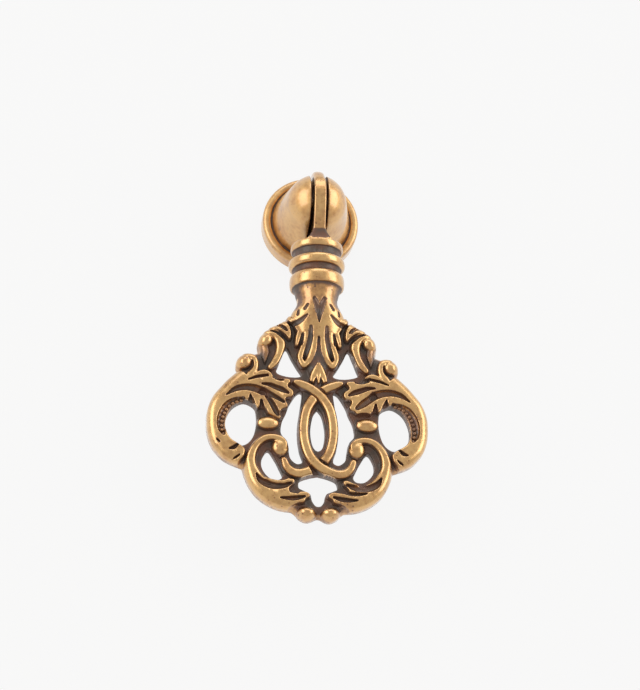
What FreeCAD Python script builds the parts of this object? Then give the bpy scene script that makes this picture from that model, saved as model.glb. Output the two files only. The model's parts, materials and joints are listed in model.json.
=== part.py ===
import FreeCAD, Part
import math
import os

from FreeCAD import Matrix, Vector

# A drop pull for a drawer or cabinet door. X runs to the right, Z up, and the drawer front is the
# plane Y = 0 with the room on the -Y side. The origin is the screw hole in the back of the rose.
# All sizes are in millimetres. A depth is measured out from the drawer front, a drop down from the
# pin's axis, and an offset out from the pendant's axis.

# Rose and head
rose_diameter = 16.0
rim_width = 1.5
rim_depth = 3.0
rim_back_edge = 0.3
groove_width = 0.25
groove_depth = 2.2
nose_radius = 4.85
screw_hole_diameter = 3.3
screw_hole_floor = 0.75

# Hinge
pin_depth = 9.5
pin_diameter = 1.8
pin_end_setback = 0.12
pin_running_clearance = 0.08
eye_thickness = 2.0
eye_proud = 0.4
slot_side_clearance = 0.4
slot_floor_clearance = 0.3

# Collar and neck: each ring is its height, its radius and the height of the groove below it
collar_drop = 7.0
collar_rings = [(1.7, 4.25, 1.5), (1.6, 4.5, 1.2), (2.3, 4.5, 0.2)]
collar_groove_radius = 3.9
tab_half_depth = 3.3
neck_radius = 3.3
neck_length = 2.5
neck_root = 0.8
calyx_proud = 0.1

# Pendant plate
shoulder_length = 3.3
plate_width = 35.4
plate_length = 33.4
plate_back = 1.3
plate_thickness = 1.9
cutter_overrun = 1.0
crown_height = 1.1
carving_sink = 0.15
rib_pitch = 1.3
finger_height = 0.45
rib_end_share = 0.4
fewest_rib_steps = 4
section_points = 8
loft_degree = 2

# The ornament is drawn on one half, as distances out from the centre line and down from the
# shoulder, on a field of this half width and length, and is stretched to the plate's size.
drawn_half_width = 17.75
drawn_length = 33.4

# Lobes of the outline, each an arc from notch to notch
outline_arcs = [
    ((5.3, 0.2), (8.7, 2.0), (9.8, 5.2)),
    ((9.8, 5.2), (12.3, 6.0), (13.1, 8.8)),
    ((13.1, 8.8), (15.6, 11.7), (17.6, 15.7)),
    ((17.6, 15.7), (16.7, 21.5), (12.1, 24.7)),
    ((12.1, 24.7), (9.6, 29.5), (3.9, 31.7)),
    ((3.9, 31.7), (2.0, 33.4), (0.0, 32.7)),
]

# Openings beside the centre line, as closed smooth curves
side_holes = [
    [(5.2, 4.5), (3.8, 6.9), (2.6, 9.0), (4.4, 9.4), (6.9, 8.6), (6.0, 6.3)],
    [(11.6, 13.8), (13.8, 15.0), (14.8, 17.4), (14.4, 20.1), (12.4, 21.2), (10.6, 20.3),
     (9.8, 17.7), (9.8, 14.9)],
    [(2.9, 11.9), (4.6, 14.0), (5.8, 16.9), (5.9, 18.9), (4.7, 20.8), (4.4, 23.3), (3.2, 24.3),
     (2.2, 23.5), (3.2, 20.5), (3.4, 17.3), (3.0, 14.3)],
    [(7.9, 21.8), (9.0, 23.6), (8.4, 25.7), (6.7, 26.7), (5.6, 26.0), (6.5, 23.9)],
]

# Openings on the centre line: the lens between the crossed arcs, and the one at the foot
lens_top, lens_side, lens_foot = (0.0, 14.7), (1.2, 18.4), (0.0, 22.0)
foot_hole = [(0.0, 25.9), (3.1, 26.3), (3.0, 28.3), (1.5, 28.9), (0.9, 30.3), (0.0, 31.0)]

# Ribs of the carving, as points of distance out, distance down and half width. A groove is left
# between one and the next.
ribs = [
    [(7.5, 2.3, 0.45), (6.6, 3.4, 0.5), (6.2, 5.1, 0.5), (6.8, 7.0, 0.45), (7.8, 7.8, 0.35)],
    [(10.5, 6.3, 0.45), (10.1, 7.6, 0.5), (10.5, 8.8, 0.45), (11.1, 9.4, 0.35)],
    [(5.7, 10.8, 0.4), (7.6, 10.4, 0.55), (10.0, 10.5, 0.65), (12.7, 11.2, 0.75),
     (15.4, 13.7, 0.75), (16.7, 16.8, 0.7), (16.3, 20.3, 0.75), (14.5, 22.3, 0.95),
     (12.8, 22.7, 0.9)],
    [(6.3, 19.9, 0.4), (8.0, 19.8, 0.5), (9.9, 21.7, 0.65), (10.7, 24.8, 0.75),
     (9.2, 28.0, 0.9), (6.6, 30.0, 0.75), (4.5, 30.6, 0.5)],
    [(14.0, 13.9, 0.3), (11.7, 13.0, 0.45), (9.3, 13.5, 0.55), (7.8, 15.2, 0.45), (6.6, 16.6, 0.3)],
    [(9.2, 11.9, 0.3), (6.9, 12.3, 0.5), (4.7, 12.8, 0.4)],
    [(7.3, 13.6, 0.3), (6.4, 14.1, 0.45), (5.4, 14.5, 0.4)],
    [(8.8, 26.8, 0.35), (7.3, 27.5, 0.5), (5.6, 27.5, 0.5), (4.2, 27.1, 0.35)],
    [(6.6, 28.9, 0.3), (4.3, 28.9, 0.45), (1.9, 29.5, 0.35)],
    [(6.6, 1.3, 0.3), (5.6, 1.8, 0.4), (4.6, 2.8, 0.3)],
]

# Fingers of the palmette, and the leaflet on its centre line
palmette_fingers = [
    [(1.9, -0.4, 0.55), (2.6, 2.0, 0.55), (3.1, 4.2, 0.35)],
    [(1.1, 1.4, 0.45), (1.8, 4.2, 0.45), (2.2, 6.6, 0.3)],
    [(0.6, 3.4, 0.33), (0.9, 5.6, 0.36), (1.35, 7.8, 0.25)],
]
palmette_leaflet = [(0.0, 5.2, 0.25), (0.0, 7.4, 0.36), (0.0, 10.2, 0.25)]

# The crossed arc runs from the leaf on one side, over the centre line and back, to the bud on the
# same side. It and its twin each stop short of the other where they pass under it.
crossed_arc = [(4.3, 10.5, 0.45), (1.5, 11.3, 0.55), (0.0, 12.4, 0.6), (-0.9, 13.7, 0.6),
               (-2.1, 18.4, 0.6), (-0.9, 23.1, 0.6), (0.0, 24.3, 0.6), (1.5, 25.2, 0.6),
               (3.6, 25.6, 0.55), (5.0, 24.9, 0.5), (5.5, 24.0, 0.4)]
upper_crossing, lower_crossing = 2, 6

# Balls, beads and buds: distance out, distance down, half width and half height
knobs = [
    (8.6, 3.5, 0.75, 0.75),
    (11.9, 7.2, 1.0, 1.0),
    (8.2, 17.8, 1.45, 0.75),
    (6.0, 21.9, 0.9, 1.1),
    (1.9, 32.2, 1.2, 0.9),
]

# Palmette body below the neck: distance below the shoulder, half width, half depth and offset
palmette_sections = [
    (-1.3, 4.2, 3.1, 0.0),
    (1.2, 4.0, 2.5, 0.05),
    (4.2, 3.1, 2.0, 0.1),
    (7.2, 2.1, 1.7, 0.15),
    (9.7, 1.2, 1.4, 0.15),
    (11.4, 0.5, 1.1, 0.15),
]

# Sizes that follow from the driving dimensions
rose_radius = rose_diameter / 2
pin_radius = pin_diameter / 2
bore_radius = pin_radius + pin_running_clearance
eye_radius = nose_radius + eye_proud
slot_width = eye_thickness + 2 * slot_side_clearance
slot_floor_depth = pin_depth - eye_radius - slot_floor_clearance
screw_hole_length = slot_floor_depth - screw_hole_floor
nose_depth = pin_depth + nose_radius
collar_height = sum(height + groove for height, radius, groove in collar_rings)
waist_drop = collar_drop + collar_height + neck_length
shoulder_drop = waist_drop + shoulder_length
bed_offset = plate_thickness - plate_back
stretch_x = plate_width / 2 / drawn_half_width
stretch_z = plate_length / drawn_length


def revolve(edges, base, direction):
    """Solid of revolution of a closed half section about the axis through base."""
    return Part.Face(Part.Wire(edges)).revolve(base, direction, 360)


def arc(start, middle, end):
    return Part.Arc(start, middle, end).toShape()


def chain(points):
    """Straight edges through points in order."""
    return [Part.makeLine(a, b) for a, b in zip(points, points[1:])]


def rose_post():
    """Rose, groove, tapered head and ball nose in one casting, with the slot, pin holes and screw hole."""

    def at(radius, depth):
        return Vector(radius, -depth, 0)

    rim_crown = rose_radius - rim_width / 2
    rim_inner = rose_radius - rim_width
    head_base = rim_inner - groove_width
    half_diagonal = math.sqrt(0.5)
    rim_side_depth = rim_depth - rim_width / 2

    # The tapered side runs from the groove tangent to the ball nose
    reach = math.hypot(head_base, pin_depth - groove_depth)
    lean = math.atan2(pin_depth - groove_depth, -head_base) - math.asin(nose_radius / reach)
    side_length = math.sqrt(reach ** 2 - nose_radius ** 2)
    tangent = (head_base + side_length * math.cos(lean), groove_depth + side_length * math.sin(lean))
    to_nose = (math.pi / 2 + math.atan2(tangent[1] - pin_depth, tangent[0])) / 2

    section = chain([at(0, nose_depth), at(0, 0), at(rose_radius - rim_back_edge, 0),
                     at(rose_radius, rim_back_edge), at(rose_radius, rim_side_depth)])
    section.append(arc(at(rose_radius, rim_side_depth),
                       at(rim_crown + rim_width / 2 * half_diagonal,
                          rim_side_depth + rim_width / 2 * half_diagonal),
                       at(rim_crown, rim_depth)))
    section.append(arc(at(rim_crown, rim_depth),
                       at(rim_crown - rim_width / 2 * half_diagonal,
                          rim_side_depth + rim_width / 2 * half_diagonal),
                       at(rim_inner, rim_side_depth)))
    section += chain([at(rim_inner, rim_side_depth), at(head_base, rim_side_depth),
                      at(head_base, groove_depth), at(*tangent)])
    section.append(arc(at(*tangent),
                       at(nose_radius * math.cos(to_nose), pin_depth + nose_radius * math.sin(to_nose)),
                       at(0, nose_depth)))
    post = revolve(section, Vector(), Vector(0, 1, 0))

    slot = Part.makeBox(slot_width, nose_depth, rose_diameter,
                        Vector(-slot_width / 2, -slot_floor_depth - nose_depth, -rose_radius))
    pin_holes = Part.makeCylinder(pin_radius, rose_diameter, Vector(-rose_radius, -pin_depth, 0),
                                  Vector(1, 0, 0))
    screw_hole = Part.makeCylinder(screw_hole_diameter / 2, screw_hole_length, Vector(),
                                   Vector(0, -1, 0))
    return post.cut(slot).cut(pin_holes).cut(screw_hole)


def hinge_pin():
    """Plain pin through both cheeks, its ends just under the ball nose."""
    half_length = math.sqrt(nose_radius ** 2 - pin_radius ** 2) - pin_end_setback
    return Part.makeCylinder(pin_radius, 2 * half_length, Vector(-half_length, -pin_depth, 0),
                             Vector(1, 0, 0))


def eye():
    """Flat eye with its tab down into the collar."""

    def at(across, up):
        return Vector(-eye_thickness / 2, -pin_depth - across, up)

    foot = -collar_drop - collar_rings[0][0] / 2
    lean = math.atan2(foot, tab_half_depth) + math.acos(eye_radius / math.hypot(foot, tab_half_depth))
    touch = (eye_radius * math.cos(lean), eye_radius * math.sin(lean))
    edges = [arc(at(*touch), at(0, eye_radius), at(-touch[0], touch[1]))]
    edges += chain([at(-touch[0], touch[1]), at(-tab_half_depth, foot), at(tab_half_depth, foot),
                    at(*touch)])
    return Part.Face(Part.Wire(edges)).extrude(Vector(eye_thickness, 0, 0))


def collar():
    """Turned collar of three rounded rings, and the cove down to the waist of the neck."""

    def at(radius, drop):
        return Vector(radius, -pin_depth, -drop)

    drop = collar_drop
    top = at(0, drop)
    edges = chain([top, at(collar_groove_radius, drop)])
    for height, radius, groove in collar_rings:
        edges.append(arc(at(collar_groove_radius, drop), at(radius, drop + height / 2),
                         at(collar_groove_radius, drop + height)))
        drop += height
        edges += chain([at(collar_groove_radius, drop), at(collar_groove_radius, drop + groove)])
        drop += groove
    cove = collar_groove_radius - neck_radius
    edges.append(arc(at(collar_groove_radius, drop),
                     at(neck_radius + cove * (1 - math.sqrt(0.75)), drop + neck_length / 2),
                     at(neck_radius, waist_drop)))
    root_drop = waist_drop + neck_root
    edges += chain([at(neck_radius, waist_drop), at(neck_radius, root_drop), at(0, root_drop), top])
    return revolve(edges, Vector(0, -pin_depth, 0), Vector(0, 0, 1))


def drawn(point, offset, side=1):
    """Place of a drawn point at an offset out from the pendant's axis, on one side of the centre line."""
    return Vector(side * point[0] * stretch_x, -pin_depth - offset,
                  -shoulder_drop - point[1] * stretch_z)


def smooth_loop(points, paces):
    """Closed smooth curve through points, with its parameter given at each of them and where it closes."""
    curve = Part.BSplineCurve()
    curve.interpolate(Points=points, PeriodicFlag=True, Parameters=paces)
    return Part.Wire(curve.toShape())


def ring(centre, across, out):
    """Closed elliptic section with its two half axes given as vectors, its seam on the hidden side."""
    turns = [2 * math.pi * step / section_points for step in range(section_points)]
    points = [centre + across * math.sin(turn) - out * math.cos(turn) for turn in turns]
    return smooth_loop(points, turns + [2 * math.pi])


def loft(sections):
    """Smooth solid through closed sections."""
    solid, ruled, closed = True, False, False
    return Part.makeLoft(sections, solid, ruled, closed, loft_degree)


def smooth_hole(points, side):
    """Prism through the plate on a closed smooth curve, paced by the roots of its points' spacing."""
    corners = [drawn(point, -plate_back, side) for point in points]
    paces = [0]
    for start, end in zip(corners, corners[1:] + corners[:1]):
        paces.append(paces[-1] + math.sqrt(start.distanceToPoint(end)))
    return through(smooth_loop(corners, paces))


def through(wire):
    """Cutter through the whole plate on a closed curve that lies in the plate's back."""
    cutter = Part.Face(wire).extrude(Vector(0, -plate_thickness - 2 * cutter_overrun, 0))
    cutter.translate(Vector(0, cutter_overrun, 0))
    return cutter


def mirrored(points):
    """Points of one half joined to their mirror images, without the shared ones on the centre line."""
    return points + [(-x, z) for x, z in reversed(points) if x]


def plate():
    """Flat openwork plate with the lobed outline and every opening, up to the bed of the carving."""
    right = [arc(*(drawn(point, -plate_back) for point in lobe)) for lobe in outline_arcs]
    left = [arc(*(drawn(point, -plate_back, -1) for point in lobe)) for lobe in outline_arcs]
    top = Part.makeLine(drawn(outline_arcs[0][0], -plate_back), drawn(outline_arcs[0][0], -plate_back, -1))
    wire = Part.Wire(Part.sortEdges(right + left + [top])[0])
    body = Part.Face(wire).extrude(Vector(0, -plate_thickness, 0))

    cutters = [smooth_hole(points, side) for points in side_holes for side in (1, -1)]
    cutters.append(smooth_hole(mirrored(foot_hole), 1))
    lens = [drawn(point, -plate_back) for point in (lens_top, lens_side, lens_foot)]
    lens_left = [drawn(point, -plate_back, -1) for point in (lens_top, lens_side, lens_foot)]
    cutters.append(through(Part.Wire([arc(*lens), arc(*reversed(lens_left))])))
    return body.cut(cutters)


def between(values, places, place):
    """Value at a place along a path, in straight lines between the values at the path's points."""
    for index in range(1, len(places)):
        if place <= places[index]:
            break
    share = (place - places[index - 1]) / (places[index] - places[index - 1])
    return values[index - 1] + (values[index] - values[index - 1]) * share


def on_bed(point):
    """Offset at which a rib's middle line lies when it is half sunk in the bed."""
    return bed_offset - carving_sink


def on_palmette(point):
    """Offset at which a finger's middle line lies when it is half sunk in the palmette's swelling front."""
    downs, half_widths, half_depths, offsets = zip(*palmette_sections)
    half_width, half_depth, offset = (between(values, downs, point[1])
                                      for values in (half_widths, half_depths, offsets))
    bulge = math.sqrt(max(0, 1 - (point[0] / half_width) ** 2))
    return offset + half_depth * bulge - carving_sink


def rib(points, side, seat=on_bed, crown=crown_height):
    """Rounded rib half sunk in its seat, closing at both ends."""
    path_points = [drawn(point, seat(point), side) for point in points]
    path = Part.BSplineCurve()
    path.interpolate(path_points)
    places = [path.length(path.FirstParameter, path.parameter(point)) for point in path_points]
    half_widths = [point[2] * stretch_x for point in points]
    count = max(fewest_rib_steps, round(path.length() / rib_pitch))
    sections = []
    for step in range(count + 1):
        place = path.length() * step / count
        parameter = path.parameterAtDistance(place, path.FirstParameter)
        closing = rib_end_share if step in (0, count) else 1
        across = Vector(*path.tangent(parameter)[0]).cross(Vector(0, -1, 0)).normalize()
        half_width = between(half_widths, places, place) * closing
        out = (crown + carving_sink) * closing
        sections.append(ring(path.value(parameter), across * half_width, Vector(0, -out, 0)))
    return loft(sections)


def knob(place, side):
    """Ball, bead or bud half sunk in the bed."""
    out, down, half_width, half_height = place
    ball = Part.makeSphere(1, Vector(), Vector(0, 1, 0))
    centre = drawn((out, down), bed_offset - carving_sink, side)
    return ball.transformGeometry(Matrix(half_width * stretch_x, 0, 0, centre.x,
                                         0, crown_height + carving_sink, 0, centre.y,
                                         0, 0, half_height * stretch_z, centre.z))


def palmette():
    """Swelling leaf body from the round waist down to a thin foot."""
    calyx_radius = neck_radius + calyx_proud
    sections = [ring(Vector(0, -pin_depth, -waist_drop), Vector(calyx_radius, 0, 0),
                     Vector(0, -calyx_radius, 0))]
    for down, half_width, half_depth, offset in palmette_sections:
        sections.append(ring(drawn((0, down), offset), Vector(half_width * stretch_x, 0, 0),
                             Vector(0, -half_depth, 0)))
    return loft(sections)


def drop_pendant():
    """Eye, collar, neck, palmette and openwork plate as one casting."""
    pieces = [collar(), palmette(), plate(), rib(palmette_leaflet, 1, on_palmette, finger_height)]
    for side, gap in ((1, lower_crossing), (-1, upper_crossing)):
        pieces += [rib(points, side) for points in ribs]
        pieces += [rib(points, side, on_palmette, finger_height) for points in palmette_fingers]
        pieces += [knob(place, side) for place in knobs]
        pieces += [rib(crossed_arc[:gap], side), rib(crossed_arc[gap + 1:], side)]
    casting = eye().multiFuse(pieces)
    bore = Part.makeCylinder(bore_radius, 2 * eye_thickness, Vector(-eye_thickness, -pin_depth, 0),
                             Vector(1, 0, 0))
    return casting.cut(bore)


os.makedirs("parts", exist_ok=True)
nodes = {"rose_post": rose_post(), "hinge_pin": hinge_pin(), "drop_pendant": drop_pendant()}
for name, shape in nodes.items():
    print(name, len(shape.Solids), shape.isValid(), round(shape.Volume, 3))
    shape.exportStep("parts/" + name + ".step")
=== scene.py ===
"""Antique brass drop pull: rose with slotted head, cross pin, and a pendant of openwork scrolls."""

import json
import math

import bmesh
import bpy
import numpy as np
from mathutils import Matrix, Vector


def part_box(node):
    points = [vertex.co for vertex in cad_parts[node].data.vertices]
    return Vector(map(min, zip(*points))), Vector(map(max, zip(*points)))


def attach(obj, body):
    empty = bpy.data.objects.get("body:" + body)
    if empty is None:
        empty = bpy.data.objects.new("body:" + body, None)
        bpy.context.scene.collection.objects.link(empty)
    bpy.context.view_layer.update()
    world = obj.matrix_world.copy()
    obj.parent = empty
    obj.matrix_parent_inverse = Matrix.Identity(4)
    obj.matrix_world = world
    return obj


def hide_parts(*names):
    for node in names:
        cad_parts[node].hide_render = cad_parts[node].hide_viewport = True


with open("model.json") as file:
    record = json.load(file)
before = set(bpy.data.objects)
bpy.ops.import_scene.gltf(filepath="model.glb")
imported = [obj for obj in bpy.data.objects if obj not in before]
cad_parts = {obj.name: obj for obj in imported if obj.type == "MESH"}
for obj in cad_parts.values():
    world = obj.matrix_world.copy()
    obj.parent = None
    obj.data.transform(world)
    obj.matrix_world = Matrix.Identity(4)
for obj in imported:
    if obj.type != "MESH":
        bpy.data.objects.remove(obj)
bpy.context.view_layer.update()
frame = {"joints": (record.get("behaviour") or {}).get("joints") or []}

MM = 0.001

# The slot takes off the tip of the ball nose, and the cast head and eye are a little fuller than the solids
NOSE_GAIN = 0.3
EYE_GAIN = 0.2

# Sizes of the CAD model, in millimetres
PIN_DEPTH = -frame["joints"][0]["pos_m"][1] / MM
ROSE_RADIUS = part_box("rose_post")[1].x / MM
NOSE_RADIUS = -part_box("rose_post")[0].y / MM - PIN_DEPTH + NOSE_GAIN
PIN_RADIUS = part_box("hinge_pin")[1].z / MM
PIN_HALF_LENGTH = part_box("hinge_pin")[1].x / MM
EYE_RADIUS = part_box("drop_pendant")[1].z / MM + EYE_GAIN
FOOT_DROP = -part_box("drop_pendant")[0].z / MM
PLATE_HALF_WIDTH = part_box("drop_pendant")[1].x / MM

# Rose and head, as radius and depth out from the wall
RIM_ROUND = 0.75
RIM_DEPTH = 3.0
HEAD_BASE = (6.6, 2.2)
GROOVE_FLOOR = 2.0
RIM_FILLET = 0.15
SLOT_HALF_WIDTH = 1.4
SLOT_FLOOR = 3.8
SLOT_EDGE = 0.14
SCREW_HOLE_RADIUS = 1.65
SCREW_HOLE_LENGTH = 3.2

# Pin
PIN_CHAMFER = 0.12
PIN_TURNS = 64

# Eye, whose edge grows rounder between the two heights of its crown above the pin axis. Its foot has half
# depth and drop, and the top and foot of its plinth have drop, half width and half depth
BORE_CLEARANCE = 0.08
BORE_RADIUS = PIN_RADIUS + BORE_CLEARANCE
EYE_HALF_THICKNESS = 0.95
EYE_EDGE = 0.28
EYE_CROWN_EDGE = 0.85
EYE_CROWN = (1.8, 3.6)
EYE_FOOT = (3.3, 7.85)
PLINTH = [(5.9, 0.85, 3.6), (7.6, 1.9, 3.9)]
PLINTH_FILLET = 0.4

# Collar and neck, as drops below the pin axis and radii; a ring has its middle, half height and radius
COLLAR_TOP = 7.45
COLLAR_GROOVE_RADIUS = 3.8
COLLAR_RINGS = [(8.18, 0.72, 4.25), (11.05, 0.85, 4.58), (14.2, 1.25, 4.46)]
RING_SQUARENESS = 2.6
NECK = [(15.2, 3.95), (16.0, 3.6), (16.6, 3.4), (17.0, 3.2)]

# Plate, as offsets out from the pendant's axis
PLATE_BACK = -1.3
BED = 0.5
CROWN = 1.15
OUTER_ROUND = 1.5
HOLE_ROUND = 0.3
BACK_ROUND = 0.3
PALMETTE_CARVING = 0.5
SOFT_JOIN = 0.15

# Swelling body of the palmette: drop, half width, half depth and offset
PALMETTE = [(16.2, 3.5, 3.5, 0.0), (17.4, 3.3, 3.3, 0.0), (18.4, 3.45, 3.3, 0.0), (20.2, 4.35, 3.1, 0.0),
            (22.5, 4.1, 2.5, 0.05), (25.5, 3.3, 2.05, 0.1), (28.5, 2.3, 1.75, 0.15),
            (31.0, 1.4, 1.6, 0.15), (32.8, 0.6, 1.3, 0.15)]

# Outline of one half from the shoulder to the foot, lobe by lobe: distance out and drop
OUTLINE = [
    [(4.7, 20.2), (5.5, 21.1), (6.5, 21.75), (7.6, 22.3), (8.6, 23.1), (9.35, 24.1), (9.65, 25.3),
     (9.5, 26.4)],
    [(9.5, 26.4), (10.3, 26.65), (11.4, 26.8), (12.4, 27.35), (13.0, 28.2), (13.1, 29.2), (12.8, 30.0)],
    [(12.8, 30.0), (14.4, 31.5), (15.6, 32.9), (16.6, 34.2), (17.3, 35.7), (17.65, 37.2), (17.7, 38.8),
     (17.6, 40.3), (17.25, 41.7), (16.7, 42.9), (15.9, 43.9), (15.1, 44.7), (14.1, 45.3), (13.1, 45.7),
     (12.0, 46.1)],
    [(12.0, 46.1), (11.6, 47.5), (11.0, 48.9), (10.15, 50.2), (9.1, 51.2), (7.9, 52.0), (6.5, 52.6),
     (5.3, 52.85), (4.2, 52.95)],
    [(4.2, 52.95), (3.6, 53.4), (3.1, 54.0), (2.5, 54.4), (1.8, 54.6), (1.0, 54.4), (0.4, 54.05),
     (0.0, 53.95)],
]

# Openings beside the centre line, and half of the two that lie on it
SIDE_HOLES = [
    [(5.0, 25.7), (4.2, 27.2), (3.3, 28.8), (2.5, 30.15), (3.4, 30.6), (5.2, 30.5), (6.6, 29.9),
     (6.25, 28.6), (5.65, 27.0)],
    [(11.6, 35.1), (13.0, 35.6), (14.1, 36.8), (14.75, 38.6), (14.7, 40.3), (13.9, 41.8), (12.4, 42.5),
     (11.2, 42.1), (10.3, 40.9), (9.8, 39.0), (9.75, 37.3), (10.1, 35.9)],
    [(2.5, 33.2), (3.3, 33.3), (4.5, 35.2), (5.0, 36.6), (5.7, 38.2), (5.9, 40.1), (5.0, 41.4),
     (4.7, 42.8), (4.4, 44.3), (3.35, 45.2), (2.4, 44.7), (2.9, 42.9), (3.2, 40.6), (3.15, 38.4),
     (2.75, 35.6)],
    [(7.9, 43.1), (8.8, 44.3), (9.0, 45.7), (8.4, 47.0), (7.3, 47.9), (6.1, 47.9), (5.6, 47.2),
     (6.1, 46.0), (6.8, 44.6)],
]
LENS = [(0.0, 35.8), (0.75, 37.0), (1.2, 39.5), (1.0, 41.6), (0.55, 42.65), (0.0, 43.0)]
FOOT_HOLE = [(0.0, 46.9), (1.5, 47.25), (2.9, 47.9), (3.1, 49.1), (2.3, 49.6), (1.3, 50.1), (1.0, 51.2),
             (0.5, 52.0), (0.0, 52.2)]

# Leaves that stand up as one broad surface; where they pass the edge of the plate they end there
LEAVES = [
    [(13.4, 29.9), (15.6, 31.6), (17.8, 34.0), (18.6, 38.5), (18.2, 42.0), (16.2, 45.6), (13.6, 46.7),
     (12.4, 45.5), (11.7, 44.6), (11.5, 43.6), (11.9, 42.9), (13.2, 41.9), (14.1, 40.8), (14.2, 38.6),
     (13.2, 36.8), (11.6, 36.0), (10.2, 36.6), (9.2, 36.6), (8.6, 36.7), (8.2, 37.4), (7.2, 37.95),
     (6.3, 38.35), (5.8, 38.0), (5.95, 37.2), (5.65, 36.65), (4.9, 36.3), (4.7, 35.7), (5.05, 35.0),
     (4.95, 34.7), (4.2, 34.55), (3.8, 33.9), (4.0, 33.1), (4.7, 32.5), (4.3, 31.9), (4.5, 31.25),
     (5.7, 31.1), (6.9, 31.0), (7.4, 30.35), (8.0, 29.9), (8.9, 29.75), (10.0, 30.2), (10.8, 30.9),
     (11.4, 30.7), (12.0, 30.2)],
    [(9.9, 47.0), (9.2, 48.0), (8.2, 48.6), (6.8, 48.7), (5.6, 48.3), (4.6, 47.9), (3.8, 48.0),
     (3.7, 48.7), (4.3, 49.4), (4.5, 49.9), (3.4, 50.0), (2.2, 49.9), (1.4, 50.3), (1.3, 51.0),
     (1.9, 51.4), (2.3, 52.0), (3.8, 52.3), (6.6, 52.0), (9.0, 50.0), (10.4, 48.0)],
    [(5.5, 20.8), (6.6, 21.3), (8.2, 22.3), (7.4, 23.0), (6.3, 23.3), (5.4, 24.0), (4.8, 24.7),
     (4.3, 24.4), (4.2, 23.2), (4.6, 21.9)],
]

# Ribs of one half: distance out, drop and half width
RIBS = [
    [(8.4, 23.2, 0.45), (7.2, 23.5, 0.6), (6.3, 24.4, 0.68), (6.0, 25.7, 0.7), (6.25, 27.2, 0.66),
     (6.9, 28.4, 0.58), (7.7, 29.4, 0.42)],
    [(11.7, 27.4, 0.45), (10.6, 27.8, 0.55), (10.2, 28.9, 0.6), (10.35, 30.0, 0.58), (11.0, 31.0, 0.55)],
    [(5.35, 42.9, 0.3), (5.45, 42.1, 0.45), (6.1, 41.45, 0.48), (7.35, 41.15, 0.46), (8.65, 41.45, 0.5),
     (9.75, 42.4, 0.55), (10.5, 43.75, 0.62), (10.8, 45.4, 0.75), (10.6, 46.9, 1.0), (9.9, 48.7, 1.4),
     (8.4, 50.3, 1.6), (6.4, 51.5, 1.4), (4.6, 52.2, 0.9), (3.6, 52.6, 0.5)],
]

# Lower swells of one half that stay brown: distance out, drop and half width
SWELLS = [
    [(8.75, 25.5, 0.6), (8.45, 27.0, 0.6), (8.2, 28.4, 0.4)],
    [(6.0, 43.4, 0.75), (5.75, 44.5, 0.25)],
]
SWELL_TOP = 0.52

# Grooves of one half, cut in the leaves: distance out, drop and half width
GROOVES = [
    [(7.5, 23.15, 0.22), (6.6, 23.5, 0.3), (5.65, 24.2, 0.36), (5.0, 24.8, 0.3)],
    [(6.2, 22.1, 0.36), (5.4, 22.75, 0.3), (5.05, 23.1, 0.15)],
    [(14.7, 34.5, 0.1), (13.3, 33.5, 0.42), (11.8, 33.1, 0.55), (10.3, 33.2, 0.64), (8.9, 33.7, 0.68)],
    [(9.05, 32.4, 0.14), (7.9, 32.5, 0.34), (6.7, 32.95, 0.44), (5.75, 33.3, 0.42), (4.9, 33.75, 0.22)],
    [(11.2, 31.75, 0.12), (9.85, 31.25, 0.24), (8.15, 30.9, 0.22)],
    [(10.9, 34.3, 0.1), (10.75, 35.6, 0.6)],
    [(9.15, 35.2, 0.2), (9.05, 36.6, 0.5)],
    [(12.0, 35.05, 0.3), (13.5, 35.55, 0.55), (14.5, 36.45, 0.72), (15.15, 37.65, 0.78),
     (15.45, 38.95, 0.78), (15.4, 40.1, 0.66), (15.1, 41.0, 0.3)],
    [(12.9, 42.75, 0.2), (13.5, 43.3, 0.32), (14.2, 43.5, 0.12)],
    [(13.4, 45.0, 0.1), (12.95, 44.75, 0.17), (12.5, 44.4, 0.1)],
    [(9.9, 47.5, 0.15), (9.25, 48.5, 0.5), (8.1, 49.15, 0.6), (6.85, 49.35, 0.6), (5.45, 49.2, 0.48),
     (4.4, 48.8, 0.18)],
    [(6.1, 51.3, 0.12), (4.85, 51.35, 0.32), (3.5, 51.25, 0.38), (2.3, 50.95, 0.18)],
    [(1.3, 51.7, 0.35), (2.0, 51.65, 0.15)],
    [(4.4, 52.95, 0.4), (3.1, 52.7, 0.7), (1.7, 52.5, 0.45)],
]

# Grooves that only one half has: the side, then the groove
LONE_GROOVES = [
    (-1, [(8.9, 33.7, 0.66), (7.8, 34.1, 0.46), (6.7, 34.65, 0.36), (5.6, 35.3, 0.24)]),
    (-1, [(8.3, 34.5, 0.32), (7.65, 35.35, 0.42), (7.2, 36.15, 0.46), (6.8, 36.95, 0.46),
          (6.5, 37.5, 0.26)]),
    (-1, [(7.2, 31.15, 0.2), (6.4, 31.5, 0.24), (5.65, 31.6, 0.14)]),
    (1, [(8.9, 33.7, 0.66), (8.15, 34.35, 0.62), (7.1, 35.15, 0.6), (6.15, 35.9, 0.34)]),
    (1, [(7.8, 31.15, 0.4), (6.9, 31.35, 0.46), (6.0, 31.5, 0.22)]),
    (-1, [(3.5, 50.15, 0.4), (4.4, 50.1, 0.3)]),
    (1, [(3.5, 49.95, 0.3), (5.1, 50.3, 0.32), (6.4, 50.3, 0.28), (7.6, 50.1, 0.1)]),
    (-1, [(16.1, 42.0, 0.12), (15.7, 42.4, 0.12)]),
]

# Upper edge of the lower left leaf, which stands up beside its groove
LEAF_EDGE = [(8.4, 48.15, 0.2), (7.45, 48.5, 0.27), (6.5, 48.65, 0.3), (5.55, 48.6, 0.32),
             (4.75, 48.3, 0.34)]

# Stretch of the right leaf that is cleared down to the bed above the oval bead
CLEARED = [(8.2, 37.2, 0.35), (7.4, 37.3, 0.7), (6.2, 37.5, 0.62), (5.6, 37.9, 0.4)]

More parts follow.
